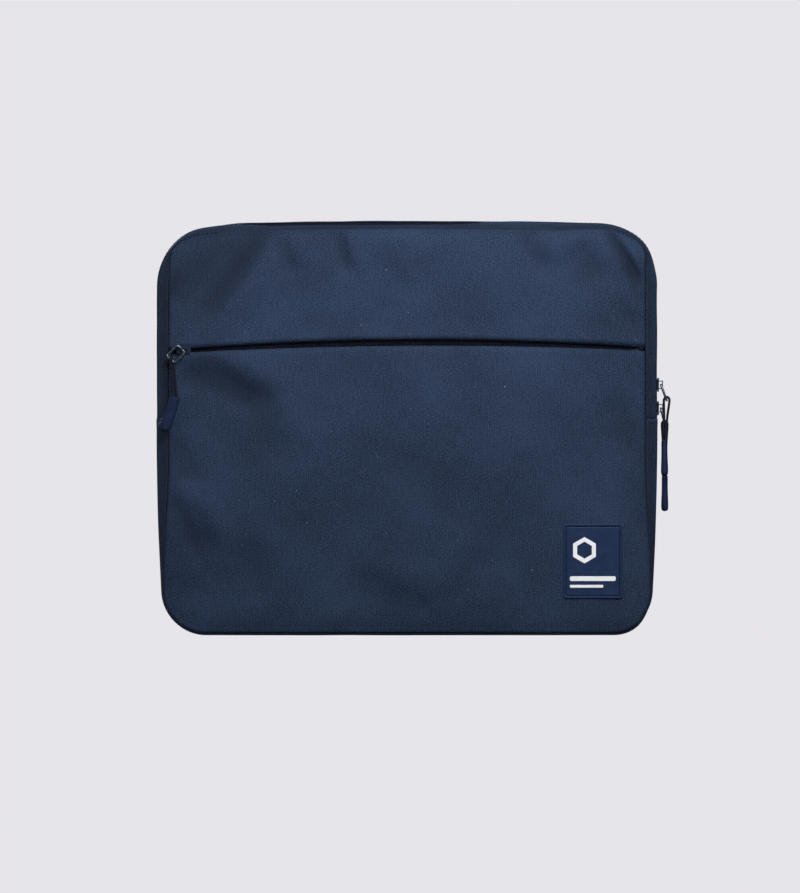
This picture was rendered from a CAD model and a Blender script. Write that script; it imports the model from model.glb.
"""Padded laptop sleeve: cloth shells, linings, zips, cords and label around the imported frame.

Lengths in the functions are millimetres unless a name ends in _M; meshes are made in metres.
+X is right seen from the front, the front faces -Y, +Z is up.
"""
import math

import bmesh
import bpy
import numpy as np
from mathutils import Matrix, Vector, noise


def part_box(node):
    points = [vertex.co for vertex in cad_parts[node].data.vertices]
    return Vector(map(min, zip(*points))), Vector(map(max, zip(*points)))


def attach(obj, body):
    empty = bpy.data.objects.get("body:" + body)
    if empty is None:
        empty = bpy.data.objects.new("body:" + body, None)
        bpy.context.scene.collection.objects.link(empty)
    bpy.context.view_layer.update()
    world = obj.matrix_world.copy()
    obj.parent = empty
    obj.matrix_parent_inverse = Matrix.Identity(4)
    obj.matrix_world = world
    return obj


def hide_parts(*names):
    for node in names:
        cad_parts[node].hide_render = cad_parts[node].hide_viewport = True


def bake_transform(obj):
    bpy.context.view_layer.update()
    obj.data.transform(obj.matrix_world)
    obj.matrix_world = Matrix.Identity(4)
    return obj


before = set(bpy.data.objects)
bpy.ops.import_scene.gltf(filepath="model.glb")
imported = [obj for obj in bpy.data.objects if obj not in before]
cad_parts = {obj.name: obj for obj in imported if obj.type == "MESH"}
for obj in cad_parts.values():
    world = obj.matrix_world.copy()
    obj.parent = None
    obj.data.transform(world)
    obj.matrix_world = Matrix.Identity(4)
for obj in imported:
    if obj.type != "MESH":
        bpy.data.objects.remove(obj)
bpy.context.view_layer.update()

MM = 0.001


def cad_box(node):
    low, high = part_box(node)
    return np.array(low) / MM, np.array(high) / MM


# ---------------------------------------------------------------- driving sizes
HALF_WIDTH = cad_box("zip_gusset_back")[1][0]
HEIGHT = cad_box("zip_gusset_back")[1][2]
SEAM_Y = 13.0
BACK_SEAM_Y = 13.0
BOTTOM_RADIUS = 31.0
TOP_RADIUS = 46.0
TAPER_TOP_Z = 150.0
TAPER_SHARE = 0.03
TOP_DROP = 3.5
INSET_BOTTOM = 1.1
INSET_SIDE = 8.5
INSET_TOP = 6.0
ZIP_END_Z = cad_box("zip_gusset_back")[0][2]
FOLD_Z = cad_box("front_panel_band")[0][2]
BEND_HALF = 20.0
GUSSET_FLAT = 5.5
GUSSET_EDGE = 5.9
GUSSET_POWER = 1.7
CLOTH = 0.9
ROLL_FRONT = 3.0
ROLL_BACK = 2.4
ROLL_LENGTH = 5.5
SEAM_BEAD = 0.8
SEAM_BEAD_REACH = 1.6
SEAM_BEAD_WIDTH = 1.0
CROWN_FRONT = 1.6
CROWN_BACK = 1.4

# Pocket zip line across the front, at its left end, right end and middle
SLOT_LEFT_Z = 204.8
SLOT_RIGHT_Z = 206.9
SLOT_ARCH = 5.2
SLOT_HALF_END = 1.1
SLOT_HALF_MIDDLE = 2.05
SLOT_HALF_LENGTH = 171.0

BEND_START = (0, 0, (FOLD_Z - BEND_HALF) * MM)


def bend(obj):
    """The cloth of the front follows the folding upper front."""
    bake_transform(obj)


# ---------------------------------------------------------------- camera, stage and light
PICTURE = (800, 893)
MM_PER_PIXEL = 0.7213
CAMERA_DISTANCE = 4200.0
SENSOR = 36.0
OBJECT_CENTRE_SHIFT = (-5.05, 136.3)
PALE = (0.795, 0.782, 0.822, 1.0)


def add_camera():
    data = bpy.data.cameras.new("camera")
    data.sensor_width = SENSOR
    front = -16.5
    data.lens = SENSOR * CAMERA_DISTANCE / (PICTURE[1] * MM_PER_PIXEL)
    data.clip_end = 100
    camera = bpy.data.objects.new("camera", data)
    bpy.context.scene.collection.objects.link(camera)
    x, z = OBJECT_CENTRE_SHIFT
    camera.location = Vector((x, front - CAMERA_DISTANCE, z)) * MM
    camera.rotation_euler = (math.radians(90), 0, 0)
    bpy.context.scene.camera = camera


def add_area(name, place, target, size, power, colour=(1, 1, 1)):
    data = bpy.data.lights.new(name, "AREA")
    data.energy = power
    data.size = size
    data.color = colour
    light = bpy.data.objects.new(name, data)
    bpy.context.scene.collection.objects.link(light)
    light.location = place
    direction = Vector(target) - Vector(place)
    light.rotation_euler = direction.to_track_quat("-Z", "Y").to_euler()
    light.visible_camera = False
    return light


STUDIO_HALF = 12.0
FLOOR_Z = -0.0012


def add_stage():
    """Dim even surroundings, a pale floor running back to a pale backdrop, and soft lights."""
    world = bpy.data.worlds.new("studio")
    world.use_nodes = True
    background = world.node_tree.nodes["Background"]
    background.inputs["Color"].default_value = PALE
    background.inputs["Strength"].default_value = 0.18
    bpy.context.scene.world = world
    bpy.context.scene.view_settings.view_transform = "Standard"

    far = STUDIO_HALF
    low, high = FLOOR_Z, STUDIO_HALF
    square = ((-far, -far), (far, -far), (far, far), (-far, far))
    corners = [(x, y, z) for z in (low, high) for x, y in square]
    walls = [(k, (k + 1) % 4, 4 + (k + 1) % 4, 4 + k) for k in range(4)] + [(4, 5, 6, 7)]
    material = bpy.data.materials.new("backdrop")
    material.use_nodes = True
    shader = material.node_tree.nodes["Principled BSDF"]
    shader.inputs["Base Color"].default_value = (0, 0, 0, 1)
    shader.inputs["Specular IOR Level"].default_value = 0.0
    shader.inputs["Emission Color"].default_value = PALE
    shader.inputs["Emission Strength"].default_value = 1.0
    for name, faces in (("backdrop", walls), ("floor", [(0, 1, 2, 3)])):
        mesh = bpy.data.meshes.new(name)
        used = sorted({k for face in faces for k in face})
        mesh.from_pydata([corners[k] for k in used], [], [[used.index(k) for k in face] for face in faces])
        mesh.materials.append(material)
        plane = bpy.data.objects.new(name, mesh)
        bpy.context.scene.collection.objects.link(plane)
        plane.visible_diffuse = False
        plane.visible_glossy = False
        plane.visible_shadow = False

    add_area("key", (0.58, -1.00, 0.70), (0.0, 0, 0.15), 0.26, 8.2, (0.97, 0.98, 1.0))
    add_area("glow", (0.02, -0.46, 0.60), (0.01, 0, 0.20), 0.20, 3.45, (0.99, 0.99, 1.0))
    add_area("side", (-1.2, -0.10, 0.30), (-0.18, 0, 0.16), 0.4, 3.2, (1.0, 0.93, 0.84))
    add_area("fill", (-0.9, -1.4, 0.3), (0, 0, 0.15), 0.7, 0.7, (1.0, 0.93, 0.85))
    add_area("back", (-0.5, 1.3, 0.5), (0, 0, 0.15), 0.6, 13.0)


# ---------------------------------------------------------------- node helpers
class Shader:
    """A material's node tree with short calls for what the cloths share."""

    def __init__(self, name):
        self.material = bpy.data.materials.new(name)
        self.material.use_nodes = True
        self.tree = self.material.node_tree
        self.surface = self.tree.nodes["Principled BSDF"]

    def node(self, kind, **settings):
        node = self.tree.nodes.new(kind)
        for key, value in settings.items():
            setattr(node, key, value)
        return node

    def link(self, source, target):
        self.tree.links.new(source, target)

    def cloth_point(self):
        return self.node("ShaderNodeAttribute", attribute_name="cloth").outputs["Vector"]

    def object_point(self):
        return self.node("ShaderNodeTexCoord").outputs["Object"]

    def stretched(self, point, scale):
        mapping = self.node("ShaderNodeMapping")
        mapping.inputs["Scale"].default_value = scale
        self.link(point, mapping.inputs["Vector"])
        return mapping.outputs["Vector"]

    def noise(self, point, scale, detail=3.0, roughness=0.5):
        texture = self.node("ShaderNodeTexNoise")
        texture.inputs["Scale"].default_value = scale
        texture.inputs["Detail"].default_value = detail
        texture.inputs["Roughness"].default_value = roughness
        self.link(point, texture.inputs["Vector"])
        return texture.outputs["Fac"]

    def wave(self, point, direction, scale, distortion=0.0):
        texture = self.node("ShaderNodeTexWave", bands_direction=direction)
        texture.inputs["Scale"].default_value = scale
        texture.inputs["Distortion"].default_value = distortion
        self.link(point, texture.inputs["Vector"])
        return texture.outputs["Fac"]

    def math(self, operation, first, second):
        node = self.node("ShaderNodeMath", operation=operation)
        for socket, value in zip(node.inputs, (first, second)):
            if isinstance(value, (int, float)):
                socket.default_value = value
            else:
                self.link(value, socket)
        return node.outputs[0]

    def ranged(self, value, low, high, new_low, new_high):
        node = self.node("ShaderNodeMapRange")
        for name, number in zip(("From Min", "From Max", "To Min", "To Max"),
                                (low, high, new_low, new_high)):
            node.inputs[name].default_value = number
        self.link(value, node.inputs["Value"])
        return node.outputs["Result"]

    def mixed(self, share, first, second):
        node = self.node("ShaderNodeMix", data_type="RGBA")
        self.link(share, node.inputs["Factor"])
        for socket, value in ((node.inputs[6], first), (node.inputs[7], second)):
            if isinstance(value, tuple):
                socket.default_value = (*value, 1.0)
            else:
                self.link(value, socket)
        return node.outputs[2]

    def bump(self, height, distance_mm, strength, under=None):
        node = self.node("ShaderNodeBump")
        node.inputs["Distance"].default_value = distance_mm * MM
        node.inputs["Strength"].default_value = strength
        self.link(height, node.inputs["Height"])
        if under is not None:
            self.link(under, node.inputs["Normal"])
        return node.outputs["Normal"]

    def finish(self, colour, roughness, normal=None, **uniform):
        self.link(colour, self.surface.inputs["Base Color"])
        if isinstance(roughness, float):
            self.surface.inputs["Roughness"].default_value = roughness
        else:
            self.link(roughness, self.surface.inputs["Roughness"])
        if normal is not None:
            self.link(normal, self.surface.inputs["Normal"])
        for name, value in uniform.items():
            self.surface.inputs[name.replace("_", " ")].default_value = value
        return self.material


GRAIN_SHARE = 0.75
RIB_SHARE = 0.04
RIB_SCALE = 190.0
MOTTLE_SHARE = 0.22


HOLLOW_NAVY = (0.0040, 0.0065, 0.0130)


def woven(name, dark, light, yarn=0.5, streaks=0.15, sheen=0.04):
    """Plain weave: yarn bumps, warp streaks along v, mottling and specks of lint."""
    shader = Shader(name)
    point = shader.cloth_point()
    pitch = 1.0 / (yarn * MM)
    warp = shader.wave(point, "X", pitch / 20 * 6.2832 / 2, 0.0)
    weft = shader.wave(point, "Y", pitch / 20 * 6.2832 / 2, 0.0)
    weave = shader.math("MULTIPLY", warp, weft)
    ribs = shader.wave(shader.stretched(point, (1.0, 0.02, 1.0)), "X", RIB_SCALE, 1.2)
    streak = shader.noise(shader.stretched(point, (1.0, 0.10, 1.0)), 900.0, 1.0, 0.5)
    speckle = shader.noise(point, 1150.0, 1.0, 0.6)
    mottle = shader.noise(point, 16.0, 2.0, 0.5)
    tone = shader.math("MULTIPLY", streak, streaks)
    tone = shader.math("ADD", tone, shader.math("MULTIPLY", ribs, RIB_SHARE))
    tone = shader.math("ADD", tone, shader.math("MULTIPLY", speckle, GRAIN_SHARE))
    tone = shader.math("ADD", tone, shader.math("MULTIPLY", mottle, MOTTLE_SHARE))
    middle = (streaks + RIB_SHARE + GRAIN_SHARE + MOTTLE_SHARE) / 2
    share = shader.ranged(tone, middle - 0.12, middle + 0.12, 0.0, 1.0)
    colour = shader.mixed(share, dark, light)
    hollow = shader.node("ShaderNodeAttribute", attribute_name="hollow").outputs["Fac"]
    colour = shader.mixed(shader.ranged(hollow, 0.0, 1.0, 0.0, 0.78), colour, HOLLOW_NAVY)
    lint = shader.ranged(shader.noise(point, 560.0, 0.0, 0.5), 0.885, 0.90, 0.0, 0.6)
    colour = shader.mixed(lint, colour, (0.22, 0.26, 0.32))
    normal = shader.bump(weave, yarn * 0.3, 0.35)
    normal = shader.bump(speckle, 0.12, 0.25, normal)
    roughness = shader.ranged(speckle, 0.3, 0.7, 0.72, 0.88)
    return shader.finish(colour, roughness, normal, Sheen_Weight=sheen,
                         Sheen_Roughness=0.45, Specular_IOR_Level=0.14,
                         Sheen_Tint=(0.45, 0.6, 1.0, 1.0))


def herringbone(name, dark, light):
    shader = Shader(name)
    point = shader.cloth_point()
    across = shader.wave(point, "Y", 260.0)
    slanted = shader.node("ShaderNodeMapping")
    slanted.inputs["Rotation"].default_value = (0, 0, math.radians(38))
    shader.link(point, slanted.inputs["Vector"])
    twill = shader.wave(slanted.outputs["Vector"], "X", 620.0)
    height = shader.math("ADD", shader.math("MULTIPLY", across, 0.4), twill)
    share = shader.ranged(height, 0.2, 1.2, 0.0, 1.0)
    colour = shader.mixed(share, dark, light)
    normal = shader.bump(height, 0.15, 0.5)
    return shader.finish(colour, 0.95, normal, Specular_IOR_Level=0.05)


def moulded(name, dark, light, roughness, grain_mm=0.25, coat=0.0, shine=0.2):
    """Moulded rubber or plastic with a fine grain and handling marks."""
    shader = Shader(name)
    point = shader.object_point()
    grain = shader.noise(point, 1.0 / (grain_mm * MM), 2.0, 0.6)
    marks = shader.noise(point, 160.0, 4.0, 0.6)
    colour = shader.mixed(shader.ranged(marks, 0.35, 0.7, 0.0, 1.0), dark, light)
    rough = shader.ranged(marks, 0.3, 0.7, roughness - 0.08, roughness + 0.08)
    normal = shader.bump(grain, 0.05, 0.4)
    return shader.finish(colour, rough, normal, Coat_Weight=coat, Specular_IOR_Level=shine)


def lacquered_metal(name, lacquer, worn, worn_from=0.66):
    """Dark lacquer over metal, rubbed bright on the outer edges."""
    shader = Shader(name)
    point = shader.object_point()
    edge = shader.node("ShaderNodeNewGeometry").outputs["Pointiness"]
    patch = shader.noise(point, 900.0, 4.0, 0.65)
    rub = shader.math("ADD", edge, shader.math("MULTIPLY", patch, 0.12))
    share = shader.ranged(rub, worn_from, worn_from + 0.10, 0.0, 1.0)
    colour = shader.mixed(share, lacquer, worn)
    rough = shader.ranged(patch, 0.3, 0.7, 0.24, 0.42)
    normal = shader.bump(patch, 0.03, 0.3)
    return shader.finish(colour, rough, normal, Metallic=0.75, Coat_Weight=0.3)


def braided(name, dark, light, shine=0.15):
    shader = Shader(name)
    point = shader.object_point()
    cells = shader.node("ShaderNodeTexVoronoi")
    cells.inputs["Scale"].default_value = 1700.0
    shader.link(shader.stretched(point, (1.0, 1.0, 0.55)), cells.inputs["Vector"])
    colour = shader.mixed(shader.ranged(cells.outputs["Distance"], 0.0, 0.6, 1.0, 0.0), dark, light)
    normal = shader.bump(cells.outputs["Distance"], 0.15, -0.6)
    return shader.finish(colour, 0.8, normal, Specular_IOR_Level=shine)


def foamed(name, dark, light):
    shader = Shader(name)
    point = shader.object_point()
    cells = shader.node("ShaderNodeTexVoronoi")
    cells.inputs["Scale"].default_value = 1400.0
    shader.link(point, cells.inputs["Vector"])
    colour = shader.mixed(cells.outputs["Distance"], dark, light)
    normal = shader.bump(cells.outputs["Distance"], 0.2, 0.5)
    return shader.finish(colour, 0.95, normal, Specular_IOR_Level=0.2)


NAVY_DARK = (0.0064, 0.0124, 0.0278)
NAVY_LIGHT = (0.0262, 0.0468, 0.0955)
SHELL = woven("shell_fabric", NAVY_DARK, NAVY_LIGHT)
LINING = woven("lining", (0.020, 0.022, 0.028), (0.045, 0.050, 0.060), yarn=0.3, streaks=0.3)
FOAM = foamed("foam", (0.03, 0.03, 0.034), (0.07, 0.07, 0.075))
TAPE = herringbone("zip_tape", (0.003, 0.004, 0.009), (0.009, 0.013, 0.025))
COIL = moulded("zip_coil", (0.003, 0.004, 0.009), (0.008, 0.011, 0.021), 0.6, shine=0.1)
THREAD = braided("thread", (0.002, 0.003, 0.006), (0.005, 0.007, 0.013), 0.05)
METAL = lacquered_metal("zip_metal", (0.026, 0.042, 0.076), (0.30, 0.36, 0.43))
WIRE = lacquered_metal("wire_metal", (0.045, 0.068, 0.110), (0.50, 0.56, 0.64), worn_from=0.60)
CORD = braided("pull_cord", (0.003, 0.005, 0.011), (0.010, 0.015, 0.032))
PULL_RUBBER = moulded("pull_rubber", (0.0065, 0.0125, 0.036), (0.0105, 0.019, 0.054), 0.55, shine=0.08)
LABEL_RUBBER = moulded("label_rubber", (0.0052, 0.0170, 0.054), (0.0082, 0.0245, 0.075), 0.55)
LABEL_WHITE = moulded("label_ink", (0.78, 0.79, 0.80), (0.86, 0.87, 0.88), 0.55)


# ---------------------------------------------------------------- mesh helpers
def make_object(name, vertices_mm, faces, material, cloth_mm=None, hollow=None):
    mesh = bpy.data.meshes.new(name)
    mesh.from_pydata((np.asarray(vertices_mm, float) * MM).tolist(), [], faces)
    bm = bmesh.new()
    bm.from_mesh(mesh)
    bmesh.ops.recalc_face_normals(bm, faces=bm.faces)
    if bm.calc_volume(signed=True) < 0:
        bmesh.ops.reverse_faces(bm, faces=bm.faces)
    bm.to_mesh(mesh)
    bm.free()
    if cloth_mm is not None:
        attribute = mesh.attributes.new("cloth", "FLOAT_VECTOR", "POINT")
        flat = np.zeros((len(mesh.vertices), 3), np.float32)
        flat[:, :2] = np.asarray(cloth_mm, float).reshape(-1, 2) * MM
        attribute.data.foreach_set("vector", flat.ravel())
    if hollow is not None:
        shade = mesh.attributes.new("hollow", "FLOAT", "POINT")
        shade.data.foreach_set("value", np.asarray(hollow, np.float32).ravel())
    mesh.polygons.foreach_set("use_smooth", [True] * len(mesh.polygons))
    mesh.materials.append(material)
    obj = bpy.data.objects.new(name, mesh)
    bpy.context.scene.collection.objects.link(obj)
    return obj


def grid_normals(points, closed):
    if closed:
        padded = np.concatenate([points[-1:], points, points[:1]])
        along = (padded[2:] - padded[:-2])
    else:
        along = np.gradient(points, axis=0)
    across = np.gradient(points, axis=1)
    normal = np.cross(along, across)
    length = np.linalg.norm(normal, axis=2, keepdims=True)
    return normal / np.maximum(length, 1e-9)


def shell_from_grid(name, points, cloth, thickness, material, closed=False, inward=None,
                    hollow=None):
    """A sheet with real thickness from a grid of outer points. inward is a point inside."""
    rows, columns = points.shape[:2]
    normals = grid_normals(points, closed)
    centre = np.array(inward if inward is not None else points.reshape(-1, 3).mean(axis=0))
    if np.mean(np.sum(normals * (points - centre), axis=2)) < 0:
        normals = -normals
    inner = points - normals * thickness
    vertices = np.concatenate([points.reshape(-1, 3), inner.reshape(-1, 3)])
    count = rows * columns
    faces = []
    row_pairs = [(r, (r + 1) % rows) for r in range(rows if closed else rows - 1)]
    for low, high in row_pairs:
        for c in range(columns - 1):
            a, b = low * columns + c, low * columns + c + 1
            d, e = high * columns + c, high * columns + c + 1
            faces.append((a, b, e, d))
            faces.append((count + d, count + e, count + b, count + a))
        for c in (0, columns - 1):
            a, d = low * columns + c, high * columns + c
            faces.append((a, d, count + d, count + a))
    if not closed:
        for r in (0, rows - 1):
            for c in range(columns - 1):
                a, b = r * columns + c, r * columns + c + 1
                faces.append((a, count + a, count + b, b))
    both = np.concatenate([cloth.reshape(-1, 2), cloth.reshape(-1, 2)])
    shade = None if hollow is None else np.concatenate([hollow.ravel(), hollow.ravel()])
    return make_object(name, vertices, faces, material, both, shade)


def joined_meshes(name, pieces, material, cloth=False):
    """One object from many small (vertices, faces) pieces."""
    vertices, faces, offset = [], [], 0
    for piece_vertices, piece_faces in pieces:
        vertices.append(np.asarray(piece_vertices, float))
        faces.extend([tuple(i + offset for i in face) for face in piece_faces])
        offset += len(piece_vertices)
    stacked = np.concatenate(vertices)
    flat = stacked[:, [0, 2]] if cloth else None
    return make_object(name, stacked, faces, material, flat)


def tube_piece(route, radius, sides=8, closed=False):
    """(vertices, faces) of a tube with capped ends along a route of points."""
    route = np.asarray(route, float)
    count = len(route)
    if closed:
        tangents = np.roll(route, -1, axis=0) - np.roll(route, 1, axis=0)
    else:
        tangents = np.gradient(route, axis=0)
    tangents /= np.linalg.norm(tangents, axis=1, keepdims=True)
    side = np.cross(tangents[0], [0.31, 0.87, 0.39])
    side /= np.linalg.norm(side)
    radii = np.broadcast_to(np.asarray(radius, float), (count,))
    vertices, faces = [], []
    for i in range(count):
        side = side - tangents[i] * np.dot(side, tangents[i])
        side /= np.linalg.norm(side)
        other = np.cross(tangents[i], side)
        for k in range(sides):
            angle = 2 * math.pi * k / sides
            offset = side * math.cos(angle) + other * math.sin(angle)
            vertices.append(route[i] + offset * radii[i])
    for i in range(count if closed else count - 1):
        j = (i + 1) % count
        for k in range(sides):
            m = (k + 1) % sides
            faces.append((i * sides + k, i * sides + m, j * sides + m, j * sides + k))
    if not closed:
        faces.append(tuple(range(sides))[::-1])
        faces.append(tuple((count - 1) * sides + k for k in range(sides)))
    return vertices, faces


def bead_piece(start, end, radius, sides=6):
    """A short round-ended stitch between two points."""
    start, end = np.asarray(start, float), np.asarray(end, float)
    shares = (0.0, 0.12, 0.5, 0.88, 1.0)
    widths = (0.35, 0.8, 1.0, 0.8, 0.35)
    route = [start + (end - start) * share for share in shares]
    return tube_piece(route, np.array(widths) * radius, sides)


# ---------------------------------------------------------------- outline of the sleeve
def smooth_step(low, high, value):
    share = np.clip((value - low) / (high - low), 0, 1)
    return share * share * (3 - 2 * share)


CORNER_GAIN_LEFT = 4.6
CORNER_GAIN_RIGHT = 3.8
CORNER_Z = 281.0
CORNER_REACH = 12.0
RIGHT_CORNER_REACH = 17.0


def corner_gain(x, z):
    """The front and back seams come nearer the outline round the top corners."""
    gain = np.where(x < 0, CORNER_GAIN_LEFT, CORNER_GAIN_RIGHT)
    reach = np.where(x < 0, CORNER_REACH, RIGHT_CORNER_REACH)
    at_corner = np.exp(-((z - CORNER_Z) / reach) ** 2) * smooth_step(100, 140, np.abs(x))
    return gain * at_corner


def seam_inset(z):
    grown = INSET_BOTTOM + (INSET_SIDE - INSET_BOTTOM) * smooth_step(20, 130, z)
    return grown + (INSET_TOP - INSET_SIDE) * smooth_step(262, 290, z)


def taper(z):
    below = np.maximum(0.0, TAPER_TOP_Z - z) / TAPER_TOP_Z
    return 1 - TAPER_SHARE * below ** 2


def top_sag(x, z):
    return TOP_DROP * (x / HALF_WIDTH) ** 2 * (z / HEIGHT) ** 6


def half_ring(steps_corner=22, step=3.0):
    """Right half of the outer outline, bottom middle to top middle, in even steps."""
    points = []
    bottom_centre = HALF_WIDTH - BOTTOM_RADIUS
    top_centre = HALF_WIDTH - TOP_RADIUS
    for x in np.linspace(0, bottom_centre, int(bottom_centre / step), endpoint=False):
        points.append((x, 0.0))
    for angle in np.linspace(0, math.pi / 2, steps_corner):
        points.append((bottom_centre + BOTTOM_RADIUS * math.sin(angle),
                       BOTTOM_RADIUS * (1 - math.cos(angle))))
    side = HEIGHT - TOP_RADIUS - BOTTOM_RADIUS
    for z in np.linspace(BOTTOM_RADIUS, HEIGHT - TOP_RADIUS, int(side / step))[1:-1]:
        points.append((HALF_WIDTH, z))
    for angle in np.linspace(0, math.pi / 2, steps_corner + 6):
        points.append((top_centre + TOP_RADIUS * math.cos(angle),
                       HEIGHT - TOP_RADIUS * (1 - math.sin(angle))))
    for x in np.linspace(top_centre, 0, int(top_centre / step))[1:]:
        points.append((x, HEIGHT))
    points = np.array(points)
    x = points[:, 0] * taper(points[:, 1])
    z = points[:, 1] - top_sag(points[:, 0], points[:, 1])
    return np.stack([x, z], axis=1)


RIGHT_SHOULDER = 4.2
RIGHT_FOOT = 4.2
LEFT_SHOULDER_DROP = 1.8


def settle(x, z):
    """The filled cloth stands a little squarer at its right corners than at its left ones."""
    toward_right = smooth_step(90, 150, x)
    moved = x + RIGHT_SHOULDER * toward_right * smooth_step(262, 290, z)
    moved = moved + RIGHT_FOOT * toward_right * (1 - smooth_step(-4, 20, z))
    dropped = z - LEFT_SHOULDER_DROP * np.exp(-((x + 141) / 13) ** 2) * smooth_step(285, 296, z)
    return moved, dropped


def ring_with_normals():
    right = half_ring()
    left = right[::-1] * [-1, 1]
    loop = np.concatenate([right, left[1:-1]])
    loop = np.stack(settle(loop[:, 0], loop[:, 1]), axis=1)
    tangent = np.roll(loop, -1, axis=0) - np.roll(loop, 1, axis=0)
    tangent /= np.linalg.norm(tangent, axis=1, keepdims=True)
    normal = np.stack([tangent[:, 1], -tangent[:, 0]], axis=1)
    return loop, normal


RING, RING_NORMAL = ring_with_normals()
RING_INSET = seam_inset(RING[:, 1]) - corner_gain(RING[:, 0], RING[:, 1])
SEAM = RING - RING_NORMAL * RING_INSET[:, None]


def open_run(z_limit, upper):
    """Indices of the outline above (or below) a height, in order along it."""
    keep = RING[:, 1] > z_limit if upper else RING[:, 1] < z_limit
    count = len(RING)
    start = next(i for i in range(count) if keep[i] and not keep[i - 1])
    run = []
    while keep[(start + len(run)) % count] and len(run) < count:
        run.append((start + len(run)) % count)
    return run


def run_at(run, z_limit):
    """Outline points, normals and lengths along a run, with both ends set at a height."""
    points = RING[run].copy()
    normals = RING_NORMAL[run].copy()
    for end, neighbour in ((0, 1), (-1, -2)):
        step = points[end] - points[neighbour]
        share = (z_limit - points[neighbour][1]) / step[1]
        points[end] = points[neighbour] + step * share
    lengths = np.concatenate([[0], np.cumsum(np.linalg.norm(np.diff(points, axis=0), axis=1))])
    return points, normals, lengths


def seam_distance(x, z):
    """Distance from points on the panel to the seam line."""
    spot = np.stack([x.ravel(), z.ravel()], axis=1)
    best = np.full(len(spot), 1e9)
    for i in range(len(SEAM)):
        a, b = SEAM[i], SEAM[(i + 1) % len(SEAM)]
        edge = b - a
        share = np.clip(((spot - a) @ edge) / (edge @ edge), 0, 1)
        best = np.minimum(best, np.linalg.norm(spot - a - share[:, None] * edge, axis=1))
    return best.reshape(x.shape)


# ---------------------------------------------------------------- cloth surfaces
def fractal(x, z, scale, seed, octaves=3):
    value = np.zeros(x.size)
    flat_x, flat_z = x.ravel() / scale, z.ravel() / scale
    for i in range(x.size):
        value[i] = noise.fractal(Vector((flat_x[i], flat_z[i], seed)), 1.0, 2.0, octaves)
    return value.reshape(x.shape)


def crease(x, z, start, end, width, depth, lip=0.5):
    """A soft fold along a line: a valley with a lower ridge on its left."""
    start, end = np.array(start, float), np.array(end, float)
    line = end - start
    length = np.linalg.norm(line)
    line /= length
    along = (x - start[0]) * line[0] + (z - start[1]) * line[1]
    across = (x - start[0]) * -line[1] + (z - start[1]) * line[0]
    fade = smooth_step(-0.25 * length, 0.2 * length, along)
    fade *= 1 - smooth_step(0.75 * length, 1.25 * length, along)
    valley = -np.exp(-(across / width) ** 2)
    ridge = lip * np.exp(-((across - 1.9 * width) / (1.4 * width)) ** 2)
    return depth * fade * (valley + ridge)


LEAST_STAND = 1.0
FLOOR_SOFTNESS = 0.35
FOLD_STRENGTH = 2.0
BACK_FOLD_STRENGTH = 1.2
HOLLOW_SHARE = 0.30

# Folds that a filled sleeve of this cloth shows: start, end, width, depth, lip
FRONT_FOLDS = (
    ((-104, 290), (-146, 232), 8.0, 2.1, 0.6),
    ((-126, 290), (-172, 240), 15.0, 1.7, 0.2),
    ((-166, 262), (-170, 246), 4.0, 1.0, 0.6),
    ((-92, 286), (-84, 262), 7.0, 1.0, 0.5),
    ((-50, 291), (-44, 264), 4.5, 1.0, 0.7),
    ((-20, 286), (-14, 262), 9.0, 0.4, 0.5),
    ((84, 290), (100, 264), 8.0, 1.1, 0.5),
    ((122, 282), (138, 256), 11.0, 1.2, 0.4),
    ((146, 290), (167, 256), 4.2, 2.2, 0.8),
    ((156, 270), (170, 240), 5.0, 1.0, 0.6),
    ((150, 240), (168, 222), 6.0, 0.6, 0.5),
    ((-162, 188), (-104, 169), 9.5, 1.4, 0.8),
    ((-150, 200), (-120, 182), 9.0, 0.9, 0.3),
    ((-112, 178), (-96, 132), 13.0, 0.9, 0.4),
    ((-172, 140), (-156, 112), 9.0, 0.8, 0.5),
    ((-172, 100), (-150, 60), 7.0, 1.0, 0.6),
    ((-152, 92), (-140, 62), 6.0, 0.6, 0.6),
    ((-120, 70), (-104, 30), 12.0, 0.7, 0.5),
    ((150, 170), (166, 130), 9.0, 0.8, 0.5),
    ((-40, 40), (20, 20), 10.0, 0.6, 0.5),
    ((60, 60), (30, 26), 9.0, 0.5, 0.5),
    ((-20, 130), (40, 96), 20.0, 0.5, 0.5),
)
BACK_FOLDS = (
    ((120, 286), (160, 240), 9.0, 1.4, 0.5),
    ((-130, 286), (-166, 250), 7.0, 1.2, 0.5),
    ((-150, 60), (-120, 24), 8.0, 0.9, 0.6),
    ((140, 70), (164, 36), 8.0, 0.8, 0.6),
    ((-60, 190), (40, 170), 18.0, 0.5, 0.5),
    ((30, 110), (110, 96), 16.0, 0.5, 0.5),
)


def cushion(x, z, distance, roll, crown):
    """How far a padded panel stands out from its seam."""
    edge = roll * (1 - np.exp(-distance / ROLL_LENGTH))
    edge += SEAM_BEAD * np.exp(-((distance - SEAM_BEAD_REACH) / SEAM_BEAD_WIDTH) ** 2)
    across = np.clip(1 - (np.abs(x) / HALF_WIDTH) ** 2.5, 0, 1)
    along = np.clip(1 - (np.abs(z - HEIGHT / 2) / (HEIGHT / 2)) ** 2.5, 0, 1)
    return edge + crown * across * along


def hollowness(x, z, distance, folds):
    """Where the cloth lies in a fold or against the seam and keeps less light, 0 to 1."""
    value = 0.55 * np.exp(-distance / 1.5)
    for start, end, width, depth, _ in folds:
        value += HOLLOW_SHARE * np.clip(-crease(x, z, start, end, width * 1.1, depth, 0.0), 0, None)
    return np.clip(value, 0, 1)


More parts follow.
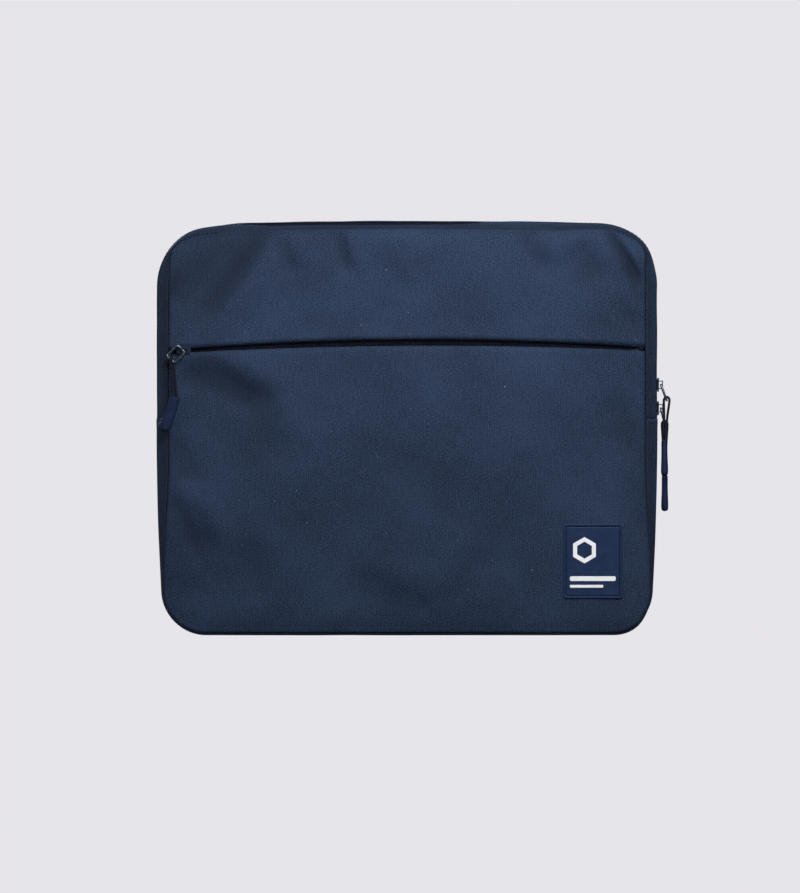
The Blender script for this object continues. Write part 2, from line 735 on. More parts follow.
def relief(x, z, distance, folds, seed, strength=FOLD_STRENGTH):
    value = 0.70 * fractal(x, z, 62.0, seed)
    value += 0.28 * fractal(x, z, 21.0, seed + 5, 2)
    value += 0.07 * fractal(x, z, 8.0, seed + 9, 2)
    for start, end, width, depth, lip in folds:
        value += strength * crease(x, z, start, end, width, depth, lip)
    pucker = 0.22 * np.exp(-distance / 5.0) * fractal(x, z, 5.0, seed + 20, 2)
    return value * (1 - np.exp(-distance / 4.0)) + pucker


def slot_z(x):
    share = np.clip(x / SLOT_HALF_LENGTH, -1, 1)
    base = (SLOT_LEFT_Z + SLOT_RIGHT_Z) / 2 + (SLOT_RIGHT_Z - SLOT_LEFT_Z) / 2 * share
    return base + SLOT_ARCH * (1 - share ** 2)


def slot_half(x):
    share = np.clip(x / SLOT_HALF_LENGTH, -1, 1)
    return SLOT_HALF_END + (SLOT_HALF_MIDDLE - SLOT_HALF_END) * (1 - share ** 2)


def columns_x(count=150):
    """Even in the middle, closer together in the rounded corners."""
    share = np.linspace(-1, 1, count)
    return np.sin(share * math.pi / 2) * 0.35 + share * 0.65


def panel_span(share):
    """For each column, the lowest and highest z of the panel, before the taper."""
    half = HALF_WIDTH - INSET_SIDE
    x = share * half
    low = np.full(x.shape, INSET_BOTTOM)
    high = np.full(x.shape, HEIGHT - INSET_TOP)
    low_radius = BOTTOM_RADIUS - INSET_BOTTOM
    high_radius = TOP_RADIUS - INSET_TOP
    over = np.clip(np.abs(x) - (half - low_radius), 0, low_radius)
    low += low_radius - np.sqrt(np.maximum(low_radius ** 2 - over ** 2, 0))
    over = np.clip(np.abs(x) - (half - high_radius), 0, high_radius)
    high -= high_radius - np.sqrt(np.maximum(high_radius ** 2 - over ** 2, 0))
    return x, low, high


def filled_corner(x, z):
    """Move a panel's edge out to the seam where that comes nearer the outline."""
    over_x = np.maximum(0, np.abs(x) - (HALF_WIDTH - TOP_RADIUS))
    over_z = np.maximum(0, z - (HEIGHT - TOP_RADIUS))
    reach = np.hypot(over_x, over_z)
    away_x = np.sign(x) * over_x / np.maximum(reach, 0.01)
    away_z = over_z / np.maximum(reach, 0.01)
    gain = corner_gain(x + INSET_TOP * away_x, z + INSET_TOP * away_z)
    gain = gain * np.clip(reach / (TOP_RADIUS - INSET_SIDE), 0, 1) ** 2
    return x + gain * away_x, z + gain * away_z


def panel_grid(rows, z_low=None, z_high=None, columns=150):
    """x and z of a panel between two edges; the edges default to the seam line."""
    x0, low, high = panel_span(columns_x(columns))
    low = low if z_low is None else np.maximum(low, z_low(x0))
    high = high if z_high is None else z_high(x0)
    share = np.linspace(0, 1, rows)[None, :]
    z = low[:, None] + (high - low)[:, None] * share
    widest = HALF_WIDTH - INSET_SIDE
    side = HALF_WIDTH * taper(z) - seam_inset(z)
    x = x0[:, None] * side / widest
    return filled_corner(*settle(x, z - top_sag(x, z)))


def front_skin(x, z):
    distance = seam_distance(x, z)
    height = SEAM_Y - 0.4 + cushion(x, z, distance, ROLL_FRONT, CROWN_FRONT)
    height += relief(x, z, distance, FRONT_FOLDS, 3.0)
    floor = SEAM_Y - 0.4 + LEAST_STAND * (1 - np.exp(-distance / 4.0))
    return floor + FLOOR_SOFTNESS * np.logaddexp(0, (height - floor) / FLOOR_SOFTNESS)


def add_front_panels():
    x, z = panel_grid(110, z_high=lambda x0: slot_z(x0) - slot_half(x0))
    depth = front_skin(x, z)
    edge = (slot_z(x) - slot_half(x)) - z
    depth -= 0.5 * np.exp(-edge / 9.0) + 1.6 * np.exp(-(edge / 1.3) ** 2)
    points = np.stack([x, -depth, z], axis=2)
    cloth = np.stack([x, z], axis=2)
    hollow = hollowness(x, z, seam_distance(x, z), FRONT_FOLDS)
    lower = shell_from_grid("front_panel_below_zip", points, cloth, CLOTH, SHELL,
                            inward=(0, 0, 150), hollow=hollow)
    bend(lower)
    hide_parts("front_panel_lower", "front_panel_band")

    x, z = panel_grid(64, z_low=lambda x0: slot_z(x0) + slot_half(x0))
    depth = front_skin(x, z)
    edge = z - (slot_z(x) + slot_half(x))
    depth += 0.9 * np.exp(-edge / 7.0) - 2.4 * np.exp(-(edge / 1.4) ** 2)
    points = np.stack([x, -depth, z], axis=2)
    cloth = np.stack([x, z], axis=2)
    hollow = hollowness(x, z, seam_distance(x, z), FRONT_FOLDS)
    upper = shell_from_grid("front_panel_above_zip", points, cloth, CLOTH, SHELL,
                            inward=(0, 0, 250), hollow=hollow)
    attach(upper, "front_flap")
    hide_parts("front_panel_upper")


def add_back_panel():
    x, z = panel_grid(150)
    distance = seam_distance(x, z)
    depth = BACK_SEAM_Y - 0.4 + cushion(x, z, distance, ROLL_BACK, CROWN_BACK)
    depth += relief(x, z, distance, BACK_FOLDS, 41.0, BACK_FOLD_STRENGTH)
    points = np.stack([x, depth, z], axis=2)
    cloth = np.stack([x, z], axis=2)
    back = shell_from_grid("back_panel_cloth", points, cloth, CLOTH, SHELL,
                           inward=(0, 0, 150), hollow=hollowness(x, z, distance, BACK_FOLDS))
    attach(back, "root")
    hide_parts("back_panel")


# ---------------------------------------------------------------- gussets, linings and padding
def gusset_depth(y, z, lift=0.0, x=0.0):
    """How far the gusset lies inside the outer outline at a width y."""
    share = np.maximum(0.0, np.abs(y) - GUSSET_FLAT) / (SEAM_Y + 0.2 - GUSSET_FLAT)
    return (seam_inset(z) - corner_gain(np.asarray(x), z)) * share ** GUSSET_POWER - lift


JOIN_LIFT = 0.2
JOIN_REACH = 5.0
JOIN_OVERLAP = 1.1


def join_lift(z):
    """The top ends of the bottom gusset lie over the zip gusset."""
    return JOIN_LIFT * np.exp(-((ZIP_END_Z + JOIN_OVERLAP - z) / JOIN_REACH) ** 2)


SAG_DEPTH = 5.2
SAG_MIDDLE = -32.0
SAG_HALF = 80.0


def top_edge_sag(x, y, z):
    """The front edge of the zip gusset hangs a little lower along part of the top."""
    along = np.exp(-((x - SAG_MIDDLE) / SAG_HALF) ** 4)
    across = 1 - smooth_step(GUSSET_EDGE + 1, SEAM_Y - 1.5, abs(y))
    return SAG_DEPTH * along * across * (z > HEIGHT / 2) * (y < 0)


def gusset_points(run_points, normals, y_values, lift=0.0, swell=0.0, seed=7.0):
    rows, columns = len(run_points), len(y_values)
    points = np.zeros((rows, columns, 3))
    for j, y in enumerate(y_values):
        depth = gusset_depth(y, run_points[:, 1], lift, run_points[:, 0])
        if lift > 0:
            depth = depth - join_lift(run_points[:, 1])
        else:
            depth = depth + top_edge_sag(run_points[:, 0], y, run_points[:, 1])
        for i in range(rows):
            place = Vector((run_points[i, 0] / 26, run_points[i, 1] / 26, seed + y / 16))
            depth[i] -= swell * noise.noise(place)
        flat = run_points - normals * depth[:, None]
        points[:, j] = np.stack([flat[:, 0], np.full(rows, y), flat[:, 1]], axis=1)
    return points


def run_cloth(lengths, y_values):
    along = np.repeat(lengths[:, None], len(y_values), axis=1)
    across = np.repeat(np.array(y_values)[None, :], len(lengths), axis=0)
    return np.stack([across, along], axis=2)


def gusset_strip(name, run, z_limit, y_values, lift, swell, thickness, material, seed):
    points2, normals, lengths = run_at(run, z_limit)
    points = gusset_points(points2, normals, y_values, lift, swell, seed)
    near_seam = smooth_step(GUSSET_EDGE, SEAM_Y, np.abs(np.array(y_values)))
    hollow = np.repeat(0.75 * near_seam[None, :], len(points), axis=0)
    return shell_from_grid(name, points, run_cloth(lengths, y_values), thickness, material,
                           inward=(0, np.mean(y_values), 150), hollow=hollow)


def edge_rows(near, far, count=12):
    """Widths across a gusset, closer together at the turned-in zip edge."""
    share = np.linspace(0, 1, count) ** 1.3
    return list(near + (far - near) * share)


UPPER_RUN = open_run(ZIP_END_Z, True)
LOWER_TOP = ZIP_END_Z + 1.1
LOWER_RUN = open_run(LOWER_TOP, False)
GUSSET_CLOTH = 1.1
BOTTOM_LIFT = 0.22


def add_gussets():
    y_front = [-y for y in edge_rows(GUSSET_EDGE, SEAM_Y + 0.2)]
    front = gusset_strip("gusset_front", UPPER_RUN, ZIP_END_Z, y_front, 0.0, 0.35,
                         GUSSET_CLOTH, SHELL, 11.0)
    bend(front)
    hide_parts("zip_gusset_front", "zip_gusset_stub_right", "zip_gusset_stub_left")
    y_back = edge_rows(GUSSET_EDGE, SEAM_Y + 0.2)
    back = gusset_strip("gusset_back", UPPER_RUN, ZIP_END_Z, y_back, 0.0, 0.35,
                        GUSSET_CLOTH, SHELL, 17.0)
    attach(back, "root")
    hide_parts("zip_gusset_back")
    y_all = list(np.linspace(-SEAM_Y - 0.2, SEAM_Y + 0.2, 23))
    bottom = gusset_strip("gusset_bottom", LOWER_RUN, LOWER_TOP, y_all, BOTTOM_LIFT, 0.12,
                          GUSSET_CLOTH, SHELL, 23.0)
    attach(bottom, "root")
    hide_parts("bottom_gusset")


def add_gusset_linings():
    for name, side, mover in (("gusset_lining_front_cloth", -1, bend), ("gusset_lining_back_cloth", 1, None)):
        widths = [side * y for y in np.linspace(6.7, 11.0, 5)]
        points2, normals, lengths = run_at(UPPER_RUN, ZIP_END_Z + 0.3)
        inset = points2 - normals * 2.45
        points = np.stack([np.stack([inset[:, 0], np.full(len(inset), y), inset[:, 1]], axis=1)
                           for y in widths], axis=1)
        drop = (seam_inset(points2[:, 1]) * 0.62)[:, None]
        share = np.array([(abs(y) - 6.7) / 4.3 for y in widths])[None, :] ** 1.5
        sag = np.stack([top_edge_sag(points2[:, 0], y, points2[:, 1]) for y in widths], axis=1)
        push = drop * share * 0.5 + sag
        points[:, :, 0] -= normals[:, 0][:, None] * push
        points[:, :, 2] -= normals[:, 1][:, None] * push
        lining = shell_from_grid(name, points, run_cloth(lengths, widths), 0.5, LINING,
                                 inward=(0, side * 9, 150))
        if side < 0:
            mover(lining)
            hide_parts("gusset_lining_front")
        else:
            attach(lining, "root")
            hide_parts("gusset_lining_back")


def ring_loop(extra_inset):
    return RING - RING_NORMAL * (seam_inset(RING[:, 1]) + extra_inset)[:, None]


def add_bindings():
    for side, name in ((-1, "front_seam_binding"), (1, "back_seam_binding_cloth")):
        loop = ring_loop(2.85)
        sides = 10
        rows = len(loop)
        points = np.zeros((rows, sides + 1, 3))
        for k in range(sides + 1):
            angle = 2 * math.pi * k / sides
            flat = loop + RING_NORMAL * 1.25 * math.cos(angle)
            y = side * (12.15 + 0.9 * math.sin(angle))
            points[:, k] = np.stack([flat[:, 0], np.full(rows, y), flat[:, 1]], axis=1)
        vertices = points[:, :sides].reshape(-1, 3)
        faces = []
        for i in range(rows):
            j = (i + 1) % rows
            for k in range(sides):
                m = (k + 1) % sides
                faces.append((i * sides + k, i * sides + m, j * sides + m, j * sides + k))
        around = np.tile(np.arange(sides) * 0.7, rows)
        along = np.repeat(np.arange(rows) * 3.0, sides)
        cloth = np.stack([around, along], axis=1)
        binding = make_object(name, vertices, faces, TAPE, cloth)
        if side < 0:
            bend(binding)
            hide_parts("front_seam_binding_lower", "front_seam_binding_upper")
        else:
            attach(binding, "root")
            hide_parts("back_seam_binding")


def inner_panel(name, y, thickness, inset, material, side, bulge=0.0, bottom=None, rows=40):
    """A flat inner layer a little smaller than the panel."""
    x, z = panel_grid(rows, z_low=bottom, columns=60)
    shrink = 1 - inset / (HALF_WIDTH - INSET_SIDE)
    x, z = x * shrink, 150 + (z - 150) * (1 - inset / 146)
    distance = seam_distance(x, z)
    depth = abs(y) + bulge * (1 - np.exp(-distance / 18))
    depth += 0.12 * fractal(x, z, 30.0, 60 + abs(y), 2)
    points = np.stack([x, side * depth, z], axis=2)
    return shell_from_grid(name, points, np.stack([x, z], axis=2), thickness, material,
                           inward=(0, 0, 150))


def add_inner_layers():
    pocket = inner_panel("pocket_lining", 11.9, 0.5, 5.0, LINING, -1)
    bend(pocket)
    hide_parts("pocket_lining_lower", "pocket_lining_upper")
    foam = inner_panel("front_foam", 11.0, 3.8, 5.5, FOAM, -1)
    bend(foam)
    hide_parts("front_foam_lower", "front_foam_upper")
    lining = inner_panel("front_lining", 6.75, 0.6, 5.0, LINING, -1)
    bend(lining)
    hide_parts("front_lining_lower", "front_lining_upper")
    back_foam = inner_panel("back_foam_pad", 12.8, 3.8, 5.5, FOAM, 1)
    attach(back_foam, "root")
    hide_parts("back_foam")
    back_lining = inner_panel("back_lining_cloth", 8.65, 0.6, 5.0, LINING, 1)
    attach(back_lining, "root")
    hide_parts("back_lining")


# ---------------------------------------------------------------- main zip
TOOTH_PITCH = 1.5
TOOTH_RADIUS = 0.42
TAPE_DEPTH = 1.55
TAPE_WIDTHS = (0.62, 2.0, 3.2, 4.4, 5.5, 6.4)
TAPE_SAG_WIDTHS = (2.5, 6.2)


def along_run(run, z_limit, spacing, offset=0.0):
    """Evenly spaced outline points and normals along a run."""
    points, normals, lengths = run_at(run, z_limit)
    stations = np.arange(spacing / 2 + offset, lengths[-1], spacing)
    places = np.stack([np.interp(stations, lengths, points[:, k]) for k in (0, 1)], axis=1)
    turned = np.stack([np.interp(stations, lengths, normals[:, k]) for k in (0, 1)], axis=1)
    turned /= np.linalg.norm(turned, axis=1, keepdims=True)
    return places, turned


def lifted(place, normal, depth, y):
    flat = place - normal * depth
    return (flat[0], y, flat[1])


def tooth_piece(place, normal, side, depth):
    """One coil turn: a rounded bar from the tape across the middle of the zip."""
    route = [lifted(place, normal, depth + 0.75, side * 2.55),
             lifted(place, normal, depth + 0.15, side * 2.35),
             lifted(place, normal, depth, side * 1.3),
             lifted(place, normal, depth + 0.05, side * 0.1),
             lifted(place, normal, depth + 0.5, side * -0.35)]
    return tube_piece(route, np.array((0.7, 0.95, 1.0, 1.05, 0.7)) * TOOTH_RADIUS, 6)


EDGE_STITCH_Y = 7.3


def on_gusset(place, normal, y):
    """A point just on the outer face of the zip gusset."""
    x, z = place
    depth = gusset_depth(y, z, 0.05, x) + top_edge_sag(x, y, z)
    return lifted(place, normal, float(depth), y)


def add_main_zip():
    for side, name in ((-1, "front"), (1, "back")):
        widths = [side * y for y in TAPE_WIDTHS]
        points2, normals, lengths = run_at(UPPER_RUN, ZIP_END_Z + 0.2)
        columns = []
        for y in widths:
            sag = top_edge_sag(points2[:, 0], y, points2[:, 1]) * smooth_step(*TAPE_SAG_WIDTHS, abs(y))
            flat = points2 - normals * (TAPE_DEPTH + sag)[:, None]
            columns.append(np.stack([flat[:, 0], np.full(len(flat), y), flat[:, 1]], axis=1))
        points = np.stack(columns, axis=1)
        tape = shell_from_grid(f"zip_tape_{name}_cloth", points, run_cloth(lengths, widths), 0.5,
                               TAPE, inward=(0, side * 3, 150))
        places, turned = along_run(UPPER_RUN, ZIP_END_Z + 2.6, TOOTH_PITCH,
                                   TOOTH_PITCH / 2 if side > 0 else 0.0)
        teeth = [tooth_piece(place, normal, side, 0.9) for place, normal in zip(places, turned)]
        coil = joined_meshes(f"zip_coil_{name}_teeth", teeth, COIL)
        stitch_y = side * EDGE_STITCH_Y
        stitches = [bead_piece(on_gusset(p, n, stitch_y), on_gusset(q, m, stitch_y), 0.2)
                    for p, n, q, m in stitch_pairs(UPPER_RUN, ZIP_END_Z + 1.0)]
        seam = joined_meshes(f"zip_seam_{name}", stitches, THREAD)
        if side < 0:
            for piece in (tape, coil, seam):
                bend(piece)
            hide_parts("zip_tape_front", "zip_tape_stub_right", "zip_tape_stub_left")
            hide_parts("zip_coil_front", "zip_coil_stub_right", "zip_coil_stub_left")
        else:
            for piece in (tape, coil, seam):
                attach(piece, "root")
            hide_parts("zip_tape_back")
            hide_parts("zip_coil_back")


STITCH = 2.4
STITCH_GAP = 0.8


def stitch_pairs(run, z_limit):
    """Start and end of each stitch along a run of the outline."""
    starts = along_run(run, z_limit, STITCH + STITCH_GAP)
    ends = along_run(run, z_limit, STITCH + STITCH_GAP, STITCH)
    count = min(len(starts[0]), len(ends[0]))
    return [(starts[0][i], starts[1][i], ends[0][i], ends[1][i]) for i in range(count)]


def stitched_line(name, route, radius=0.2, stitch=STITCH, gap=STITCH_GAP, highest=HEIGHT):
    """Stitches along a polyline of points."""
    route = np.asarray(route, float)
    lengths = np.concatenate([[0], np.cumsum(np.linalg.norm(np.diff(route, axis=0), axis=1))])
    pieces = []
    for start in np.arange(0.3, lengths[-1] - stitch, stitch + gap):
        ends = [[np.interp(at, lengths, route[:, k]) for k in range(3)] for at in (start, start + stitch)]
        if ends[0][2] < highest:
            pieces.append(bead_piece(ends[0], ends[1], radius))
    return joined_meshes(name, pieces, THREAD)


# ---------------------------------------------------------------- pocket zip
def add_pocket_zip():
    x = np.linspace(-168, 168, 160)
    for side, name in ((-1, "lower"), (1, "upper")):
        widths = (0.3, 1.5, 3.0, 5.0, 7.5)
        z = slot_z(x)[:, None] + side * np.array(widths)[None, :]
        skin = front_depth_at(x, slot_z(x)) - 3.6
        y = -np.repeat(skin[:, None], len(widths), axis=1)
        points = np.stack([np.repeat(x[:, None], len(widths), axis=1), y, z], axis=2)
        cloth = np.stack([z, points[:, :, 0]], axis=2)
        tape = shell_from_grid(f"pocket_tape_{name}_cloth", points, cloth, 0.5, TAPE,
                               inward=(0, 0, 200))
        bend(tape)
        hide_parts(f"pocket_tape_{name}")
        teeth = []
        for at in np.arange(-165.5 + (0 if side > 0 else 0.6), 166, 1.2):
            centre = float(slot_z(np.array(at)))
            depth = float(front_depth_at(np.array([at]), np.array([centre]))[0]) - 3.0
            route = [(at, -depth + 0.5, centre + side * 1.9), (at, -depth, centre + side * 1.5),
                     (at, -depth - 0.1, centre + side * 0.7), (at, -depth + 0.3, centre - side * 0.2)]
            teeth.append(tube_piece(route, 0.34, 6))
        coil = joined_meshes(f"pocket_coil_{name}_teeth", teeth, COIL)
        bend(coil)
        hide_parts(f"pocket_coil_{name}")


def front_depth_at(x, z):
    return front_skin(x.reshape(1, -1), z.reshape(1, -1)).ravel()


# ---------------------------------------------------------------- label
LABEL_LOW, LABEL_HIGH = cad_box("rubber_label")
LABEL_BACK = -float(LABEL_HIGH[1])
LABEL_FRONT = -float(LABEL_LOW[1])


def rounded_loop(centre, half, radius, steps=7):
    points = []
    for index, (sx, sz) in enumerate(((1, 1), (-1, 1), (-1, -1), (1, -1))):
        for angle in np.linspace(0, math.pi / 2, steps):
            turn = angle + index * math.pi / 2
            points.append((centre[0] + sx * (half[0] - radius) + radius * math.cos(turn),
                           centre[1] + sz * (half[1] - radius) + radius * math.sin(turn)))
    return np.array(points)


def moulded_plate(name, centre, half, radius, profile, material):
    """A plate whose edge follows a profile of (inset, front depth)."""
    loops = []
    for inset, depth in profile:
        loop = rounded_loop(centre, (half[0] - inset, half[1] - inset), max(0.15, radius - inset))
        loops.append(np.stack([loop[:, 0], np.full(len(loop), -depth), loop[:, 1]], axis=1))
    count = len(loops[0])
    vertices = np.concatenate(loops)
    faces = []
    for ring in range(len(loops) - 1):
        for k in range(count):
            m = (k + 1) % count
            faces.append((ring * count + k, ring * count + m, (ring + 1) * count + m, (ring + 1) * count + k))
    faces.append(tuple(range(count)))
    faces.append(tuple((len(loops) - 1) * count + k for k in range(count)))
    plate = make_object(name, vertices, faces, material)
    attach(plate, "root")
    return plate


def extruded(name, outline, depth_back, depth_front, bevel, material, hole=None):
    """A raised mark with softened edges; hole is an inner outline with as many points."""
    outline = np.asarray(outline, float)
    centre = outline.mean(axis=0)

    def ring(points, shrink, depth):
        away = points - centre
        away = away / np.linalg.norm(away, axis=1, keepdims=True)
        moved = points - away * shrink
        return np.stack([moved[:, 0], np.full(len(moved), -depth), moved[:, 1]], axis=1)

    rings = [ring(outline, 0, depth_back), ring(outline, 0, depth_front - bevel),
             ring(outline, bevel, depth_front)]
    if hole is not None:
        hole = np.asarray(hole, float)
        rings += [ring(hole, -bevel, depth_front), ring(hole, 0, depth_front - bevel),
                  ring(hole, 0, depth_back)]
    count = len(outline)
    vertices = np.concatenate(rings)
    faces = []
    last = len(rings) if hole is not None else len(rings) - 1
    for r in range(last):
        s = (r + 1) % len(rings)
        for k in range(count):
            m = (k + 1) % count
            faces.append((r * count + k, r * count + m, s * count + m, s * count + k))
    if hole is None:
        faces.append(tuple(range(count)))
        faces.append(tuple((len(rings) - 1) * count + k for k in range(count)))
    mark = make_object(name, vertices, faces, material)
    mark.data.polygons.foreach_set("use_smooth", [False] * len(mark.data.polygons))
    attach(mark, "root")
    return mark


EMBLEM_BAR = 3.4


def add_label():
    centre = ((LABEL_LOW[0] + LABEL_HIGH[0]) / 2, (LABEL_LOW[2] + LABEL_HIGH[2]) / 2)
    half = ((LABEL_HIGH[0] - LABEL_LOW[0]) / 2, (LABEL_HIGH[2] - LABEL_LOW[2]) / 2)
    face = LABEL_FRONT - 0.25
    profile = [(0.35, LABEL_BACK - 0.4), (0.0, LABEL_BACK + 0.1), (0.0, LABEL_FRONT - 0.1),
               (0.25, LABEL_FRONT + 0.1), (1.05, LABEL_FRONT + 0.1), (1.3, LABEL_FRONT - 0.1),
               (1.5, face - 0.22), (1.95, face - 0.22), (2.3, face), (3.0, face)]
    label = moulded_plate("rubber_label_plate", centre, half, 1.6, profile, LABEL_RUBBER)
    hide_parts("rubber_label")
    inset = 1.7
    border = rounded_loop(centre, (half[0] - inset, half[1] - inset), 0.8, 3)
    route = [(x, -(face - 0.12), z) for x, z in np.concatenate([border, border[:1]])]
    seam = stitched_line("label_seam", route, 0.26, 1.7, 0.8)
    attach(seam, "root")

    low, high = cad_box("label_emblem")
    middle = ((low[0] + high[0]) / 2, (low[2] + high[2]) / 2)
    reach = (high[2] - low[2]) / 2
    reach = max(reach, (high[0] - low[0]) / 2)
    turns = [math.radians(90 + 60 * k) for k in range(6)]
    outer, inner = [[(middle[0] + size * math.cos(a), middle[1] + size * math.sin(a)) for a in turns]
                    for size in (reach, reach - EMBLEM_BAR)]
    emblem = extruded("label_emblem_mark", outer, face - 0.1, face + 0.35, 0.12, LABEL_WHITE,
                      inner)
    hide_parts("label_emblem")
    for name in ("label_bar_wide", "label_bar_narrow"):
        low, high = cad_box(name)
        middle = ((low[0] + high[0]) / 2, (low[2] + high[2]) / 2)
        size = ((high[0] - low[0]) / 2, (high[2] - low[2]) / 2)
        outline = rounded_loop(middle, size, min(size) * 0.6, 5)
        bar = extruded(f"{name}_mark", outline, face - 0.1, face + 0.35, 0.1, LABEL_WHITE)
        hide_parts(name)


# ---------------------------------------------------------------- sliders and pulls
def polish(obj, width_mm, segments=3):
    """Round the corners of a packed metal piece."""
    bevel = obj.modifiers.new("rounded", "BEVEL")
    bevel.width = width_mm * MM
    bevel.segments = segments
    bevel.limit_method = "ANGLE"
    bevel.angle_limit = math.radians(35)


def dress(name, material):
    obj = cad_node(name)
    obj.data.materials.clear()
    obj.data.materials.append(material)
    return obj


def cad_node(name):
    return bpy.data.objects[name]


LOOP_WIRE = 0.75
LOOP_LENGTH = 12.0
LOOP_CORNER = 2.0


def wire_loop(pull, pivot, down, wide, width, length=LOOP_LENGTH, wire=LOOP_WIRE):
    """Rounded rectangle of wire, from the slider's arch down to the cord."""
    pivot, down, wide = (np.array(v, float) for v in (pivot, down, wide))
    down /= np.linalg.norm(down)
    centre = pivot + down * length / 2
    flat = rounded_loop((0, 0), (width / 2, length / 2), LOOP_CORNER, 6)
    route = [centre + wide * a + down * b for a, b in flat]
    vertices, faces = tube_piece(route, wire, 12, closed=True)
    loop = make_object(f"{pull}_wire_loop", vertices, faces, WIRE)
    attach(loop, f"{pull}_loop")
    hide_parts(f"{pull}_loop")


def add_hardware():
    for pull in ("upper", "lower", "pocket"):
        polish(dress(f"{pull}_slider", METAL), 0.28)
    upper_lean, lower_lean = math.radians(20), math.radians(14)
    wire_loop("upper", (183.85, -1.2, 181), (math.sin(upper_lean), 0, -math.cos(upper_lean)), (0, 1, 0), 6.6)
    wire_loop("lower", (183.85, 1.2, 164), (math.sin(lower_lean), 0, -math.cos(lower_lean)), (0, 1, 0), 6.6)
    wire_loop("pocket", (-162.8, -18.8, 206.8), (-1, 0, -1), (math.sqrt(0.5), 0, -math.sqrt(0.5)), 7.6,
              10.8, 0.9)
    for name in ("zip_stop_right", "zip_stop_left"):
        polish(dress(name, METAL), 0.2, 2)
    for side, name in ((-1, "left"), (1, "right")):
        x = side * 167.6
        z = float(slot_z(np.array(x)))
        depth = float(front_depth_at(np.array([x]), np.array([z]))[0]) - 2.9
        bar = bead_piece((x, -depth, z - 2.4), (x, -depth, z + 2.4), 0.9, 10)
        stop = joined_meshes(f"pocket_stop_{name}_bar", [bar], COIL)
        bend(stop)
        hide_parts(f"pocket_stop_{name}")


CORD_SPREAD = 1.25
CORD_BEND = 1.95
CORD_THICKNESS = 1.8
CORD_TOP = 1.3


def cord_route(drop):
    """Two strands up from the tip, round the loop wire and down again."""
    bend_w, spread = CORD_BEND, CORD_SPREAD
    half = [(0.6 * spread, spread, -drop), (0.6 * spread, spread, -0.7 * drop),
            (0.62 * bend_w, 0.9 * spread, -0.35 * drop), (bend_w, 0.3 * bend_w, -0.8 * bend_w),
            (0.85 * bend_w, 0.15 * bend_w, 0.7 * bend_w)]
    first = [(-x, -y, z) for x, y, z in half]
    return first + [(0, 0, CORD_TOP * bend_w)] + half[::-1]


def hung_cord(pull, end, tip_top, across, spin):
    """A cord doubled over the loop wire. across is the way the two strands lie apart."""
    drop = float(np.linalg.norm(np.array(end) - np.array(tip_top)))
    down = (np.array(tip_top) - np.array(end)) / drop
    along = np.array(across, float)
    along -= down * np.dot(along, down)
    along /= np.linalg.norm(along)
    out = np.cross(along, down) * spin
    route = []
    for x, y, z in cord_route(drop):
        route.append(np.array(end) + out * x + along * y - down * z)
    curve = bpy.data.curves.new(f"{pull}_pull_cord", "CURVE")
    curve.dimensions = "3D"
    curve.bevel_depth = CORD_THICKNESS / 2 * MM
    curve.bevel_resolution = 4
    curve.use_fill_caps = True
    spline = curve.splines.new("POLY")
    fine = smooth_route(route, 96)
    spline.points.add(len(fine) - 1)
    for point, place in zip(spline.points, fine):
        point.co = (*(np.array(place) * MM), 1.0)
    curve.materials.append(CORD)
    cord = bpy.data.objects.new(f"{pull}_pull_cord", curve)
    bpy.context.scene.collection.objects.link(cord)
    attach(cord, f"{pull}_pull")
    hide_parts(f"{pull}_cord")
    length = float(np.sum(np.linalg.norm(np.diff(np.array(fine), axis=0), axis=1))) * MM
    return cord, length, [c * MM for c in fine[0]]


def smooth_route(points, count):
    """Catmull-Rom curve through the points."""
    p = np.array(points, float)
    p = np.concatenate([[2 * p[0] - p[1]], p, [2 * p[-1] - p[-2]]])
    spans = len(p) - 3
    result = []
    for s in np.linspace(0, spans - 1e-6, count):
        i = int(s)
        t = s - i
        a, b, c, d = p[i:i + 4]
        result.append(0.5 * (2 * b + (c - a) * t + (2 * a - 5 * b + 4 * c - d) * t ** 2
                             + (3 * b - a - 3 * c + d) * t ** 3))
    return result


TIP_STATIONS = (
    (0.0, 0.80), (0.25, 0.92), (0.9, 1.0), (4.0, 0.99), (9.0, 0.98), (14.0, 1.04), (19.0, 1.13),
    (22.5, 1.18), (24.6, 1.10), (25.5, 0.86), (25.95, 0.5), (26.0, 0.12),
)


def moulded_tip(pull, top, down, wide, half_wide, half_thin, curl=0.0):
    """Rubber grip: a flattened sleeve with a ridge down each narrow side and a soft end."""
    down = np.array(down, float) / np.linalg.norm(down)
    wide = np.array(wide, float)
    wide -= down * np.dot(wide, down)
    wide /= np.linalg.norm(wide)
    thin = np.cross(down, wide)
    sides = 28
    vertices, faces = [], []
    for at, scale in TIP_STATIONS:
        sway = curl * (at / 26.0) ** 2
        centre = np.array(top) + down * at + wide * sway
        for k in range(sides):
            angle = 2 * math.pi * k / sides
            c, s = math.cos(angle), math.sin(angle)
            px = math.copysign(abs(c) ** 0.75, c) * half_wide * scale
            pz = math.copysign(abs(s) ** 0.8, s) * half_thin * scale
            ridge = 1 + 0.10 * math.exp(-((abs(c) - 1) / 0.03) ** 2)
            vertices.append(centre + wide * px * ridge + thin * pz)
    rows = len(TIP_STATIONS)
    for i in range(rows - 1):
        for k in range(sides):
            m = (k + 1) % sides
            faces.append((i * sides + k, i * sides + m, (i + 1) * sides + m, (i + 1) * sides + k))
    faces.append(tuple(range(sides)))
    faces.append(tuple((rows - 1) * sides + k for k in range(sides)))
    tip = make_object(f"{pull}_pull_tip", vertices, faces, PULL_RUBBER)
    smooth = tip.modifiers.new("soft", "SUBSURF")
    smooth.levels = 1
    smooth.render_levels = 1
    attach(tip, f"{pull}_pull")
    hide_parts(f"{pull}_tip")
    return tip


